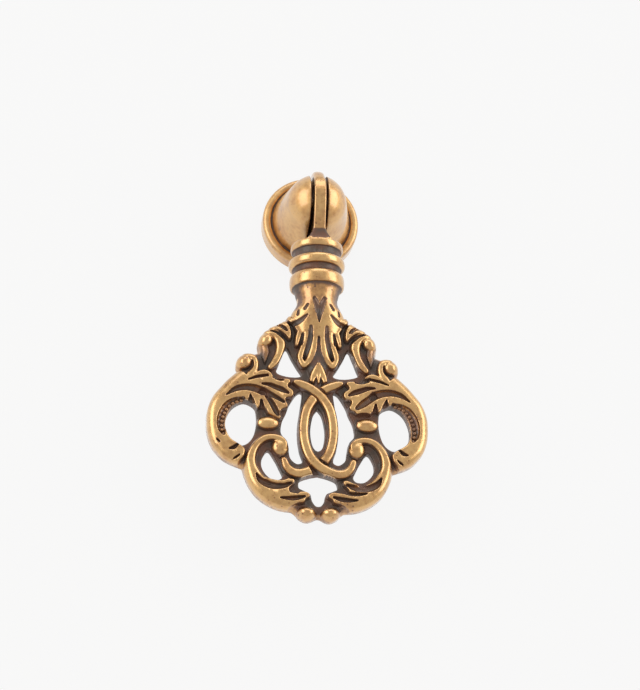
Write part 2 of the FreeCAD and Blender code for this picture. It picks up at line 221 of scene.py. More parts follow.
# Crossed arc from the leaf of one half to the hook under the other half's bud
CROSSED_ARC = [(-3.65, 31.75, 0.38), (-2.75, 32.0, 0.6), (-1.1, 32.75, 0.66), (0.5, 34.1, 0.7),
               (1.7, 35.9, 0.72), (2.25, 37.95, 0.72), (2.4, 39.95, 0.72), (2.15, 42.0, 0.72),
               (1.45, 44.0, 0.72), (0.2, 45.5, 0.72), (-1.5, 46.55, 0.7), (-2.95, 47.0, 0.68),
               (-4.2, 46.8, 0.65), (-5.1, 46.0, 0.6), (-5.5, 45.0, 0.5)]
ARC_MIDDLE = 6

# Break in the lower arc beside the upper one, and the gap along the upper one
ARC_BREAK = [(-1.15, 45.95, 0.42), (-0.85, 46.45, 0.48), (-0.5, 46.9, 0.42)]
ARC_GAP = 0.3

# Balls and buds of one half, and the oval bead of each half: distance out, drop, half width and half height
BALLS = [(8.6, 24.45, 1.45, 1.4), (12.0, 28.35, 1.58, 1.5), (6.05, 42.7, 1.45, 1.6),
         (1.95, 53.6, 1.65, 1.2)]
OVAL_BEADS = {1: (7.8, 38.58, 1.95, 1.22), -1: (8.05, 38.8, 1.95, 1.18)}
BALL_CRESCENTS = [
    [(7.75, 24.3, 0.25), (7.35, 25.0, 0.4), (7.3, 26.0, 0.42), (7.6, 27.3, 0.45), (8.1, 28.6, 0.4)],
    [(10.6, 28.6, 0.2), (10.75, 29.35, 0.38), (11.4, 29.95, 0.42), (12.5, 30.05, 0.3)],
]

# Palmette: its upper body on one half, its fingers, and the slots between them
PALMETTE_BODY = [(0.0, 15.1), (5.2, 15.1), (5.2, 20.6), (4.2, 22.0), (3.5, 23.2), (2.7, 23.6),
                 (1.6, 23.4), (0.9, 24.4), (0.0, 24.6)]
FINGERS = [
    [(2.0, 23.6, 0.42), (2.15, 24.8, 0.46), (2.55, 26.1, 0.48), (2.9, 27.5, 0.48), (2.35, 28.8, 0.46),
     (1.5, 27.9, 0.48), (0.85, 26.2, 0.48), (0.6, 24.2, 0.46)],
    [(2.9, 22.9, 0.45), (3.25, 24.2, 0.44), (3.5, 25.4, 0.28)],
    [(0.0, 28.2, 0.15), (0.0, 29.4, 0.5), (0.0, 30.6, 0.34), (0.0, 31.8, 0.15)],
    [(0.2, 29.0, 0.3), (0.75, 30.3, 0.45), (1.05, 31.5, 0.4), (1.3, 32.6, 0.16)],
]
SLOTS = [
    [(0.8, 17.9, 0.3), (0.4, 19.2, 0.48), (0.12, 20.6, 0.34), (0.0, 21.8, 0.1)],
    [(0.0, 24.3, 0.2), (0.0, 26.6, 0.3), (0.0, 28.3, 0.2)],
    [(1.3, 22.6, 0.3), (1.35, 24.3, 0.4), (1.75, 26.0, 0.38), (2.4, 27.8, 0.16)],
    [(1.9, 20.6, 0.14), (2.85, 21.4, 0.4), (3.9, 21.9, 0.45)],
    [(2.55, 23.7, 0.22), (2.75, 25.2, 0.26)],
    [(1.85, 18.9, 0.2), (2.3, 19.6, 0.24)],
    [(3.25, 19.7, 0.16), (3.35, 20.4, 0.2)],
]

# Row of beads inside each big scroll: distance out and drop
BEAD_ROW = [(12.3, 35.25), (13.4, 35.65), (14.4, 36.5), (15.05, 37.65), (15.35, 38.95), (15.35, 40.1),
            (15.1, 41.0)]
BEAD_RADIUS = 0.32
BEAD_SPACING = 0.68
BEAD_OFFSET = 0.95
BEAD_SUBDIVISIONS = 4

# Fineness of the drawing and of the cast surfaces
CHART_PITCH = 0.06
CHART_TOP = 15.0
CHART_MARGIN = 0.6
PENDANT_PITCH = 0.14
ROSE_PITCH = 0.16
MOST_TRIANGLES = 190000
MERGE_DISTANCE = 1e-7
INSIDE_LAST_CELL = 1.01
SHORTEST_SQUARED = 1e-12
GRID_MARGIN = 3
SETTLING_PASSES = 2
LEAST_SLOPE = 0.2

# Scales that keep a slanting side's field near a true distance
FRONT_STEEPNESS = 0.7
FLANK_STEEPNESS = 0.8


# Chart of the carving

chart_x = np.arange(-PLATE_HALF_WIDTH - CHART_MARGIN, PLATE_HALF_WIDTH + CHART_MARGIN, CHART_PITCH)[:, None]
chart_d = np.arange(CHART_TOP, FOOT_DROP + CHART_MARGIN, CHART_PITCH)[None, :]
chart_shape = (chart_x.size, chart_d.size)


def sample(chart, x, drop):
    """Value of a chart at any places, in straight lines between its points."""
    across = np.clip((x - chart_x[0, 0]) / CHART_PITCH, 0, chart_shape[0] - INSIDE_LAST_CELL)
    down = np.clip((drop - chart_d[0, 0]) / CHART_PITCH, 0, chart_shape[1] - INSIDE_LAST_CELL)
    i, k = across.astype(int), down.astype(int)
    u, v = across - i, down - k
    return ((chart[i, k] * (1 - u) + chart[i + 1, k] * u) * (1 - v)
            + (chart[i, k + 1] * (1 - u) + chart[i + 1, k + 1] * u) * v)


def smooth(points, closed=False, steps=8):
    """Smooth curve through points, with the same columns."""
    p = np.array(points, float)
    ends = (p[-1:], p[:2]) if closed else (2 * p[:1] - p[1:2], 2 * p[-1:] - p[-2:-1])
    p = np.vstack([ends[0], p, ends[1]])
    t = np.arange(steps)[:, None] / steps
    spans = [((2 * b) + (c - a) * t + (2 * a - 5 * b + 4 * c - d) * t ** 2
              + (3 * b - a - 3 * c + d) * t ** 3) / 2
             for a, b, c, d in zip(p, p[1:], p[2:], p[3:])]
    return np.vstack(spans if closed else spans + [p[-2:-1]])


def mirrored(half):
    """Closed outline from one half of it, which starts and ends on the centre line."""
    half = np.array(half)
    return np.vstack([half, half[::-1] * (-1, 1)])


def window(path, margin):
    """Rows and columns of the chart round a path."""
    low, high = path[:, :2].min(0) - margin, path[:, :2].max(0) + margin
    rows = np.flatnonzero((chart_x[:, 0] > low[0]) & (chart_x[:, 0] < high[0]))
    columns = np.flatnonzero((chart_d[0] > low[1]) & (chart_d[0] < high[1]))
    if not rows.size or not columns.size:
        return None
    return slice(rows[0], rows[-1] + 1), slice(columns[0], columns[-1] + 1)


def to_segment(start, end, at):
    """Distance of the chart's window from a segment, and the share along it of the nearest point."""
    x, d = chart_x[at[0]] - start[0], chart_d[:, at[1]] - start[1]
    run, fall = end[0] - start[0], end[1] - start[1]
    share = np.clip((x * run + d * fall) / max(run * run + fall * fall, SHORTEST_SQUARED), 0, 1)
    return np.hypot(x - share * run, d - share * fall), share


def signed_distance(loops, farthest=2.5):
    """Distance from closed curves on the chart, below zero inside and no more than the farthest."""
    distance = np.full(chart_shape, farthest)
    inside = np.zeros(chart_shape, bool)
    for loop in loops:
        for start, end in zip(loop, np.roll(loop, -1, axis=0)):
            columns = np.flatnonzero((start[1] > chart_d[0]) != (end[1] > chart_d[0]))
            if columns.size:
                share = (chart_d[:, columns] - start[1]) / (end[1] - start[1])
                inside[:, columns] ^= chart_x < start[0] + share * (end[0] - start[0])
            at = window(np.array([start, end]), farthest)
            if at:
                distance[at] = np.minimum(distance[at], to_segment(start, end, at)[0])
    return np.where(inside, -distance, distance)


def stroke(points, side):
    """Window round a path on one side, and the distance from the path there in units of its half width."""
    path = smooth(points) * (side, 1, 1)
    at = window(path, 2 * path[:, 2].max())
    least = np.full((at[0].stop - at[0].start, at[1].stop - at[1].start), np.inf)
    for start, end in zip(path, path[1:]):
        distance, share = to_segment(start, end, at)
        least = np.minimum(least, distance / (start[2] + (end[2] - start[2]) * share))
    return at, least


def dome(reach, squareness=2.0):
    """Rounded section: 1 in the middle and 0 from a reach of 1 on."""
    return np.clip(1 - np.clip(reach, 0, 1) ** squareness, 0, 1) ** (1 / squareness)


def blend(low, high, value):
    """Smooth step from 0 at low to 1 at high."""
    share = np.clip((value - low) / (high - low), 0, 1)
    return share * share * (3 - 2 * share)


def raise_rib(relief, points, side, top=1.0, flank=1.25):
    """Rounded rib along a path; its flanks reach a little past the half width."""
    at, reach = stroke(points, side)
    relief[at] = np.maximum(relief[at], top * dome(reach / flank, RING_SQUARENESS))


def cut_groove(relief, points, side, depth=0.68):
    """Rounded groove along a path, no deeper than the bed."""
    at, reach = stroke(points, side)
    relief[at] = np.maximum(0, relief[at] - depth * dome(reach))


def raise_leaf(relief, loop, edge=0.4):
    """Flat leaf inside a closed curve, rounded off over the width of its edge."""
    inner = np.clip(-signed_distance([loop]) / edge, 0, 1)
    np.maximum(relief, 1 - (1 - inner) ** 2, out=relief)


def raise_ball(relief, ball, side, top=1.08):
    """Half ball or oval bead."""
    x, d, half_width, half_height = ball
    reach = np.hypot((chart_x - side * x) / half_width, (chart_d - d) / half_height)
    np.maximum(relief, top * dome(reach), out=relief)


def lay_arc(relief, cleared, points, side):
    """Arc of the crossing laid over what is there, with a narrow gap beside its cleared stretch."""
    cut_groove(relief, np.array(cleared) + (0, 0, ARC_GAP), side, depth=1.0)
    raise_rib(relief, points, side)


def draw_carving():
    """Height of the carving on the chart, from 0 on the bed to 1 on the crowns."""
    relief = np.zeros(chart_shape)
    raise_leaf(relief, mirrored(smooth(PALMETTE_BODY)), edge=0.25)
    for side in (1, -1):
        for leaf in LEAVES:
            raise_leaf(relief, smooth(leaf, closed=True) * (side, 1))
        for rib in RIBS:
            raise_rib(relief, rib, side)
        for swell in SWELLS:
            raise_rib(relief, swell, side, top=SWELL_TOP)
        own_grooves = [groove for owner, groove in LONE_GROOVES if owner == side]
        for groove in GROOVES + BALL_CRESCENTS + own_grooves:
            cut_groove(relief, groove, side)
        if side == 1:
            cut_groove(relief, CLEARED, side, depth=1.0)
        else:
            raise_rib(relief, LEAF_EDGE, side)
        for ball in BALLS + [OVAL_BEADS[side]]:
            raise_ball(relief, ball, side)
        for finger in FINGERS:
            raise_rib(relief, finger, side)
        for slot in SLOTS:
            cut_groove(relief, slot, side)
    for side in (1, -1):
        lay_arc(relief, CROSSED_ARC, CROSSED_ARC, side)
    lay_arc(relief, CROSSED_ARC[:ARC_MIDDLE - 1], CROSSED_ARC[:ARC_MIDDLE + 1], 1)
    cut_groove(relief, ARC_BREAK, 1, depth=1.0)
    lay_arc(relief, CROSSED_ARC[ARC_MIDDLE + 1:], CROSSED_ARC[ARC_MIDDLE - 1:], -1)
    return relief


carving = draw_carving()
flanks = CROWN * np.hypot(*np.gradient(carving, CHART_PITCH))
outline_half = np.vstack([smooth(lobe) for lobe in OUTLINE])
outer_edge = signed_distance([mirrored(np.vstack([[(0, OUTLINE[0][0][1])], outline_half]))])
holes = [smooth(hole, closed=True) * (side, 1) for hole in SIDE_HOLES for side in (1, -1)]
holes += [mirrored(smooth(half)) for half in (LENS, FOOT_HOLE)]
hole_edge = -signed_distance(holes)
plate_edge = np.maximum(outer_edge, hole_edge)


def rounding(edge, radius):
    """Fall of a rounded edge at a distance inside it."""
    lack = np.clip(radius + edge, 0, radius)
    return radius - np.sqrt(radius ** 2 - lack ** 2)


plate_front = (BED + CROWN * carving - np.minimum(rounding(outer_edge, OUTER_ROUND), CROWN + BED)
               - rounding(hole_edge, HOLE_ROUND))
plate_back = PLATE_BACK + rounding(plate_edge, BACK_ROUND)


# Fields of distance, below zero inside the metal

def join(a, b, radius):
    """Union of two fields with a fillet."""
    share = np.clip(0.5 + 0.5 * (b - a) / radius, 0, 1)
    return b + (a - b) * share - radius * share * (1 - share)


def cut(a, b, radius):
    """What is in both fields, with a rounded edge."""
    return -join(-a, -b, radius)


def plate_field(x, out, drop):
    """Openwork plate with its carving."""
    front, back, edge = (sample(chart, x, drop) for chart in (plate_front, plate_back, plate_edge))
    return np.maximum(np.maximum(edge, (out - front) * FRONT_STEEPNESS), back - out)


def palmette_field(x, out, drop):
    """Swelling body under the palmette, carved on its front."""
    rows = smooth(PALMETTE)
    half_width, half_depth, offset = (np.interp(drop, rows[:, 0], rows[:, column]) for column in (1, 2, 3))
    reach = np.sqrt((x / half_width) ** 2 + ((out - offset) / half_depth) ** 2)
    swell = (reach - 1) * np.minimum(half_width, half_depth)
    facing = np.clip((out - offset) / half_depth, 0, 1)
    carved = swell + PALMETTE_CARVING * (1 - sample(carving, x, drop)) * facing
    return np.maximum(carved, np.maximum(rows[0, 0] - drop, drop - rows[-1, 0]))


def collar_radius(drop):
    """Radius of the turned collar and of the neck below it."""
    radius = np.full_like(drop, COLLAR_GROOVE_RADIUS)
    for middle, half_height, ring in COLLAR_RINGS:
        swell = dome(np.abs(drop - middle) / half_height, RING_SQUARENESS)
        radius = radius + (ring - COLLAR_GROOVE_RADIUS) * swell
    neck = smooth(NECK)
    return np.where(drop > neck[0, 0], np.minimum(radius, np.interp(drop, neck[:, 0], neck[:, 1])), radius)


def collar_field(x, out, drop):
    """Collar with its rings, and the neck."""
    side = (np.hypot(x, out) - collar_radius(drop)) * FLANK_STEEPNESS
    return np.maximum(side, np.maximum(COLLAR_TOP - drop, drop - NECK[-1][0]))


def eye_field(x, out, drop):
    """Flat eye with its bore, on a tab that widens to a plinth on the collar."""
    disc = np.hypot(out, drop) - EYE_RADIUS
    foot_out, foot_drop = EYE_FOOT
    lean = math.atan2(foot_drop, foot_out) - math.acos(EYE_RADIUS / math.hypot(foot_drop, foot_out))
    touch_out, touch_drop = EYE_RADIUS * math.cos(lean), EYE_RADIUS * math.sin(lean)
    half = touch_out + (drop - touch_drop) * (foot_out - touch_out) / (foot_drop - touch_drop)
    tab = np.maximum(np.abs(out) - half, np.maximum(touch_drop - drop, drop - foot_drop))
    edge = EYE_EDGE + (EYE_CROWN_EDGE - EYE_EDGE) * blend(*EYE_CROWN, -drop)
    flat = cut(np.minimum(disc, tab), np.abs(x) - EYE_HALF_THICKNESS, edge)
    (top, top_width, top_depth), (foot, foot_width, foot_depth) = PLINTH
    share = (drop - top) / (foot - top)
    plinth = np.maximum(np.abs(x) - top_width - share * (foot_width - top_width),
                        np.abs(out) - top_depth - share * (foot_depth - top_depth))
    plinth = np.maximum(plinth * FLANK_STEEPNESS, np.maximum(top - drop, drop - foot))
    return np.maximum(join(flat, plinth, PLINTH_FILLET), BORE_RADIUS - np.hypot(out, drop))


def pendant_field(x, out, z):
    """The whole drop: eye, collar, palmette and plate as one casting."""
    drop = -z
    leaf = join(plate_field(x, out, drop), palmette_field(x, out, drop), SOFT_JOIN)
    stem = join(collar_field(x, out, drop), eye_field(x, out, drop), SOFT_JOIN)
    return join(leaf, stem, SOFT_JOIN)


def head_side(radius, depth):
    """Distance from the tapered side of the head and the ball nose it runs into."""
    reach = math.hypot(HEAD_BASE[0], PIN_DEPTH - HEAD_BASE[1])
    lean = math.atan2(PIN_DEPTH - HEAD_BASE[1], -HEAD_BASE[0]) - math.asin(NOSE_RADIUS / reach)
    length = math.sqrt(reach ** 2 - NOSE_RADIUS ** 2)
    along = (radius - HEAD_BASE[0]) * math.cos(lean) + (depth - HEAD_BASE[1]) * math.sin(lean)
    away = (radius - HEAD_BASE[0]) * math.sin(lean) - (depth - HEAD_BASE[1]) * math.cos(lean)
    nose = np.hypot(radius, depth - PIN_DEPTH) - NOSE_RADIUS
    return np.where(along > length, nose, np.maximum(away, -along))


def rose_field(x, depth, z):
    """Rose with its rim and groove, and the slotted head on it."""
    radius = np.hypot(x, z)
    rim_middle = ROSE_RADIUS - RIM_ROUND
    rim = np.hypot(radius - rim_middle, np.maximum(depth - RIM_DEPTH + RIM_ROUND, 0)) - RIM_ROUND
    floor = np.maximum(radius - rim_middle, depth - GROOVE_FLOOR)
    base = np.maximum(radius - HEAD_BASE[0], depth - HEAD_BASE[1])
    body = join(np.minimum(rim, floor), np.minimum(head_side(radius, depth), base), RIM_FILLET)
    slot = np.maximum(np.abs(x) - SLOT_HALF_WIDTH, SLOT_FLOOR - depth)
    screw_hole = np.maximum(radius - SCREW_HOLE_RADIUS, depth - SCREW_HOLE_LENGTH)
    return np.maximum(np.maximum(cut(body, -slot, SLOT_EDGE), -depth), -screw_hole)


# Cast surfaces

def settled(points, field, pitch):
    """Points moved along the slope of a field until they lie where it is zero."""
    step, farthest = pitch / 4, pitch / 3
    for _ in range(SETTLING_PASSES):
        slope = np.stack([(field(*(points + step * way).T) - field(*(points - step * way).T)) / (2 * step)
                          for way in np.eye(3)], 1)
        move = field(*points.T) / np.maximum((slope ** 2).sum(1), LEAST_SLOPE)
        points = points - np.clip(move, -farthest, farthest)[:, None] * slope
    return points


def surface(field, low, high, pitch):
    """Points and four-sided faces where a field is zero, found on an even grid."""
    axes = [np.arange(start, end + pitch, pitch) for start, end in zip(low, high)]
    values = field(axes[0][:, None, None], axes[1][None, :, None], axes[2][None, None, :])

    # A cell of the grid gets a point where some of its eight corners are inside, but not all
    inside = values < 0
    corners = np.zeros([size - 1 for size in values.shape], np.uint8)
    for i in (0, 1):
        for j in (0, 1):
            for k in (0, 1):
                corners += inside[i:i - 1 or None, j:j - 1 or None, k:k - 1 or None]
    active = (corners > 0) & (corners < 8)
    count = int(active.sum())
    number = np.full(active.shape, -1)
    number[active] = np.arange(count)

    # An edge of the grid that crosses the surface gives a face between the points of the four cells round it,
    # and a point lies in the middle of all the crossings of its cell
    total, hits, faces = np.zeros((count, 3)), np.zeros(count), []
    for axis in range(3):
        first = np.take(values, range(values.shape[axis] - 1), axis)
        second = np.take(values, range(1, values.shape[axis]), axis)
        crossing = (first < 0) != (second < 0)
        edges = np.argwhere(crossing)
        start, end = first[crossing], second[crossing]
        spots = edges.astype(float)
        spots[:, axis] += start / (start - end)
        ring = []
        for back in ((0, 0), (1, 0), (1, 1), (0, 1)):
            cells = edges.copy()
            cells[:, (axis + 1) % 3] -= back[0]
            cells[:, (axis + 2) % 3] -= back[1]
            ring.append(number[tuple(cells.T)])
            for column in range(3):
                total[:, column] += np.bincount(ring[-1], spots[:, column], count)
            hits += np.bincount(ring[-1], minlength=count)
        face = np.stack(ring, 1)
        face[start > 0] = face[start > 0][:, ::-1]
        faces.append(face)
    return settled(np.array(low) + pitch * total / hits[:, None], field, pitch), np.vstack(faces)


def to_frame(points, depth=0.0):
    """Points of x, distance out and z in millimetres as places in the frame."""
    return points * (MM, -MM, MM) + np.array((0, -depth * MM, 0))


def from_frame(places, depth=0.0):
    """Columns x, distance out and z in millimetres of places in the frame."""
    return ((places + (0, depth * MM, 0)) / (MM, -MM, MM)).T


def read(items, name, kind, width):
    """Values of one property of a mesh's points, corners or faces, one row each."""
    values = np.empty(len(items) * width, kind)
    items.foreach_get(name, values)
    return values.reshape(-1, width)


def face_outwards(mesh):
    """Merges doubled points and turns every face of a closed mesh outwards."""
    shell = bmesh.new()
    shell.from_mesh(mesh)
    bmesh.ops.remove_doubles(shell, verts=shell.verts, dist=MERGE_DISTANCE)
    bmesh.ops.recalc_face_normals(shell, faces=shell.faces)
    shell.to_mesh(mesh)
    shell.free()


def place_piece(name, mesh, body, material):
    """Object of a finished mesh that rides a body and takes its finish from a slot."""
    face_outwards(mesh)
    mesh.materials.clear()
    mesh.materials.append(material)
    mesh.polygons.foreach_set("use_smooth", np.ones(len(mesh.polygons), bool))
    mesh.update()
    piece = bpy.data.objects.new(name, mesh)
    bpy.context.scene.collection.objects.link(piece)
    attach(piece, body)
    return piece


def thinned(places, faces):
    """Mesh of a cast surface with its flat stretches thinned to the most triangles a piece may have."""
    mesh = bpy.data.meshes.new("cast")
    mesh.from_pydata(places.tolist(), [], faces.tolist())
    if 2 * len(faces) <= MOST_TRIANGLES:
        return mesh
    rough = bpy.data.objects.new("cast", mesh)
    bpy.context.scene.collection.objects.link(rough)
    thin = rough.modifiers.new("thin", "DECIMATE")
    thin.ratio = MOST_TRIANGLES / (2 * len(faces))
    finished = bpy.data.meshes.new_from_object(rough.evaluated_get(bpy.context.evaluated_depsgraph_get()))
    bpy.data.objects.remove(rough)
    return finished


# Large faces: distance from corner to middle, and how far towards the middle their rub is read
LARGE_FACE = (0.15, 0.4)
TOWARDS_MIDDLE = 0.4

# Rub of the crowns: its share, and the heights of the carving where that share starts and is full
CROWN_WEAR = [(0.26, 0.12, 0.3), (0.74, 0.36, 0.7)]

# Rub from 0 under full tarnish to 1 on bare brass; a pair says where a change starts and where it is full
STEEP_FLANK = (1.3, 3.0)
FLANK_TARNISH = 0.6
RIM_BAND = (-0.9, -0.3)
RIM_RUB = 0.75
WALL_START = 0.35
WALL_RUB = 0.12
RIM_WALL_RUB = 0.55
BACK_RUB = 0.5
RING_WEAR = (COLLAR_GROOVE_RADIUS + 0.12, COLLAR_GROOVE_RADIUS + 0.36)
NECK_START = (15.2, 15.8)
NECK_END = 17.2
NECK_FRONT = (0.35, 0.8)
NECK_SIDE_RUB = 0.25
NECK_FRONT_GAIN = 0.5
CALYX_START = (18.5, 20.5)
CALYX_SIDE = 4.4
CALYX_FOOT = 24.0
CALYX_BACK = 0.8
EYE_RUB = 0.95
# Painted shade on the eye's foot and plinth: the eye's rub fades out between these drops, and below them it
# keeps the full tarnish colour down to the collar
PAINTED_PLINTH_SHADE = (5.7, 6.2)
GROOVE_RADIUS = 6.5
GROOVE_SPREAD = (0.1, 0.32)
GROOVE_BACK = 1.0
GROOVE_FRONT = (2.75, 3.0)
# Painted shade in the groove round the head: how far the rub is taken down there
GROOVE_PAINTED_SHADE = 0.85
SLOT_MARGIN = (0.02, 0.1)
SLOT_RUB = 0.1


def set_rub(mesh, rub, depth=0.0):
    """How far the tarnish is rubbed off at each face corner.

    On large faces it is read nearer to the middle, so that a wall keeps its own tone up to its edges.
    """
    corners = read(mesh.vertices, "co", float, 3)[read(mesh.loops, "vertex_index", np.int32, 1)[:, 0]]
    sides = read(mesh.polygons, "loop_total", np.int32, 1)[:, 0]
    inwards = np.repeat(read(mesh.polygons, "center", float, 3), sides, axis=0) - corners
    start, full = LARGE_FACE
    large = blend(start * MM, full * MM, np.linalg.norm(inwards, axis=1))
    values = rub(*from_frame(corners + TOWARDS_MIDDLE * large[:, None] * inwards, depth))
    attribute = mesh.attributes.new("rub", "FLOAT", "CORNER")
    attribute.data.foreach_set("value", np.clip(values, 0, 1).astype(np.float32))


def pendant_rub(x, out, z):
    """Wear of the drop: bright crowns, rings and outer rim, dark recesses, grooves and walls, and painted
    shade on the eye's foot and plinth.
    """
    drop = -z
    height = sample(carving, x, drop)
    crowns = sum(share * blend(low, high, height) for share, low, high in CROWN_WEAR)
    crowns = crowns * (1 - FLANK_TARNISH * blend(*STEEP_FLANK, sample(flanks, x, drop)))
    on_wall = sample(plate_front, x, drop) - out > WALL_START
    outside = blend(*RIM_BAND, sample(outer_edge, x, drop))
    plate = np.where(on_wall, WALL_RUB + RIM_WALL_RUB * outside, np.maximum(crowns, RIM_RUB * outside))
    plate = np.where(out < PLATE_BACK + BACK_ROUND, BACK_RUB, plate)
    radius = np.hypot(x, out)
    rings = blend(*RING_WEAR, radius)
    worn_front = NECK_SIDE_RUB + NECK_FRONT_GAIN * blend(*NECK_FRONT, np.abs(out) / radius)
    neck = rings + (worn_front - rings) * blend(*NECK_START, drop)
    calyx = np.minimum(crowns, worn_front + blend(*CALYX_START, drop))
    on_calyx = (np.abs(x) < CALYX_SIDE) & (drop < CALYX_FOOT) & (out > CALYX_BACK)
    # Painted shade: the eye keeps its rub only down to its foot, so its foot and plinth are coloured dark
    eye = EYE_RUB * (1 - blend(*PAINTED_PLINTH_SHADE, drop))
    return np.select([drop < COLLAR_TOP, drop < NECK_END, on_calyx], [eye, neck, calyx], plate)


def rose_rub(x, depth, z):
    """Wear of the rose: bright, but for painted shade in the groove round the head, and the dark slot."""
    radius = np.hypot(x, z)
    near_groove = 1 - blend(*GROOVE_SPREAD, np.abs(radius - GROOVE_RADIUS))
    # Painted shade in the groove round the head, between the rim and the tapered side
    painted_groove_shade = GROOVE_PAINTED_SHADE * near_groove * (1 - blend(*GROOVE_FRONT, depth)) * (depth > GROOVE_BACK)
    in_slot = (np.abs(x) < SLOT_HALF_WIDTH + SLOT_MARGIN[0]) & (depth > SLOT_FLOOR - SLOT_MARGIN[1])
    return np.where(in_slot, SLOT_RUB, 1 - painted_groove_shade)


# Materials

def node(tree, kind, **values):
    """Shader or geometry node with its inputs set by name."""
    made = tree.nodes.new(kind)
    for name, value in values.items():
        made.inputs[name.replace("_", " ")].default_value = value
    return made


def mapped(tree, value, source, target):
    """Value taken from one range to another and held inside it."""
    made = node(tree, "ShaderNodeMapRange", From_Min=source[0], From_Max=source[1],
                To_Min=target[0], To_Max=target[1])
    tree.links.new(value, made.inputs["Value"])
    return made.outputs["Result"]


def maths(tree, operation, first, second):
    """Sum, product or other of two values or sockets."""
    made = tree.nodes.new("ShaderNodeMath")
    made.operation = operation
    for value, socket in zip((first, second), made.inputs):
        if isinstance(value, bpy.types.NodeSocket):
            tree.links.new(value, socket)
        else:
            socket.default_value = value
    return made.outputs[0]


def noise(tree, place, scale, detail):
    """Cloudy value from 0 to 1."""
    made = node(tree, "ShaderNodeTexNoise", Scale=scale, Detail=detail)
    tree.links.new(place, made.inputs["Vector"])
    return made.outputs["Fac"]


def linear(colour):
    """Colour for a shader from its red, green and blue as seen, 0 to 255."""
    return [((c / 255 + 0.055) / 1.055) ** 2.4 if c > 10 else c / 255 / 12.92 for c in colour] + [1.0]


# Tones from full tarnish to bare brass, each with its rub, and the brown of the stains
TONES = [(0.0, (84, 72, 64)), (0.3, (107, 81, 64)), (0.52, (154, 110, 69)), (0.75, (204, 153, 93)),
         (1.0, (225, 180, 115))]
STAIN = (116, 76, 57)

# Clouds in the finish, as scale per metre and detail
BROAD_SMEARS = (320, 4)
FINE_SMEARS = (1500, 3)
PIT_PATCHES = (210, 2)
STAIN_PATCHES = (420, 2)
PIT_SCALE = 1250

# Ranges of the finish: what a cloud, a spot or the rub runs over, and what it gives there
CLOUD = (0.3, 0.7)
BROAD_WANDER = (-0.2, 0.12)
FINE_WANDER = (-0.16, 0.1)
PIT_EDGE = (0.12, 0.24)
PIT_PATCH_EDGE = (0.46, 0.56)
PIT_TARNISH = 0.4
STAIN_EDGE = (0.42, 0.62)
STAIN_STRENGTH = (0, 0.75)
STAIN_FADE = (1, 0.15)
TARNISH_TO_METAL = (0.2, 0.6)
METAL = (0.25, 1.0)
TARNISH_TO_POLISH = (0.2, 0.8)
POLISH = (0.46, 0.3)
FINE_POLISH = (-0.05, 0.08)
TARNISH_TO_LACQUER = (0.15, 0.6)
LACQUER = (0.15, 1.0)
FINE_HEIGHT = (0, 0.4)

# Grain and lacquer of every brass
GRAIN_STRENGTH = 0.35
GRAIN_DEPTH = 0.05 * MM
LACQUER_ROUGHNESS = 0.12
LACQUER_IOR = 1.65


def patina_group():
    """Antique finish shared by the brass: dark recesses to rubbed crowns, with smears, stains and pits."""
    tree = bpy.data.node_groups.new("rubbed_patina", "ShaderNodeTree")
    for name, kind in (("Rub", "Float"), ("Place", "Vector"), ("Pits", "Float"), ("Satin", "Float")):
        tree.interface.new_socket(name, in_out="INPUT", socket_type="NodeSocket" + kind)
    for name, kind in (("Colour", "Color"), ("Metal", "Float"), ("Roughness", "Float"),
                       ("Lacquer", "Float"), ("Height", "Float")):
        tree.interface.new_socket(name, in_out="OUTPUT", socket_type="NodeSocket" + kind)
    given = tree.nodes.new("NodeGroupInput").outputs
    result = tree.nodes.new("NodeGroupOutput").inputs
    place = given["Place"]
    broad = noise(tree, place, *BROAD_SMEARS)
    fine = noise(tree, place, *FINE_SMEARS)
    wander = maths(tree, "ADD", mapped(tree, broad, CLOUD, BROAD_WANDER),
                   mapped(tree, fine, CLOUD, FINE_WANDER))
    spots = node(tree, "ShaderNodeTexVoronoi", Scale=PIT_SCALE)
    tree.links.new(place, spots.inputs["Vector"])
    pit = maths(tree, "MULTIPLY", mapped(tree, spots.outputs["Distance"], PIT_EDGE, (1, 0)),
                mapped(tree, noise(tree, place, *PIT_PATCHES), PIT_PATCH_EDGE, (0, 1)))
    pit = maths(tree, "MULTIPLY", pit, given["Pits"])
    smeared = maths(tree, "ADD", given["Rub"], wander)
    rub = maths(tree, "SUBTRACT", smeared, maths(tree, "MULTIPLY", pit, PIT_TARNISH))
    ramp = tree.nodes.new("ShaderNodeValToRGB")
    tree.links.new(rub, ramp.inputs["Fac"])
    stops = ramp.color_ramp.elements
    stops.remove(stops[1])
    for position, colour in TONES:
        stop = stops.new(position) if position else stops[0]
        stop.color = linear(colour)
    stained = tree.nodes.new("ShaderNodeMix")
    stained.data_type = "RGBA"
    stained.inputs["B"].default_value = linear(STAIN)
    stain = maths(tree, "MULTIPLY",
                  mapped(tree, noise(tree, place, *STAIN_PATCHES), STAIN_EDGE, STAIN_STRENGTH),
                  mapped(tree, rub, TARNISH_TO_METAL, STAIN_FADE))
    rough = maths(tree, "ADD", mapped(tree, rub, TARNISH_TO_POLISH, POLISH),
                  mapped(tree, fine, CLOUD, FINE_POLISH))
    height = maths(tree, "SUBTRACT", mapped(tree, fine, CLOUD, FINE_HEIGHT), pit)
    for source, target in ((stain, stained.inputs["Factor"]), (ramp.outputs["Color"], stained.inputs["A"]),
                           (stained.outputs["Result"], result["Colour"]),
                           (mapped(tree, rub, TARNISH_TO_METAL, METAL), result["Metal"]),
                           (maths(tree, "ADD", rough, given["Satin"]), result["Roughness"]),
                           (mapped(tree, rub, TARNISH_TO_LACQUER, LACQUER), result["Lacquer"]),
                           (height, result["Height"])):
        tree.links.new(source, target)
    return tree


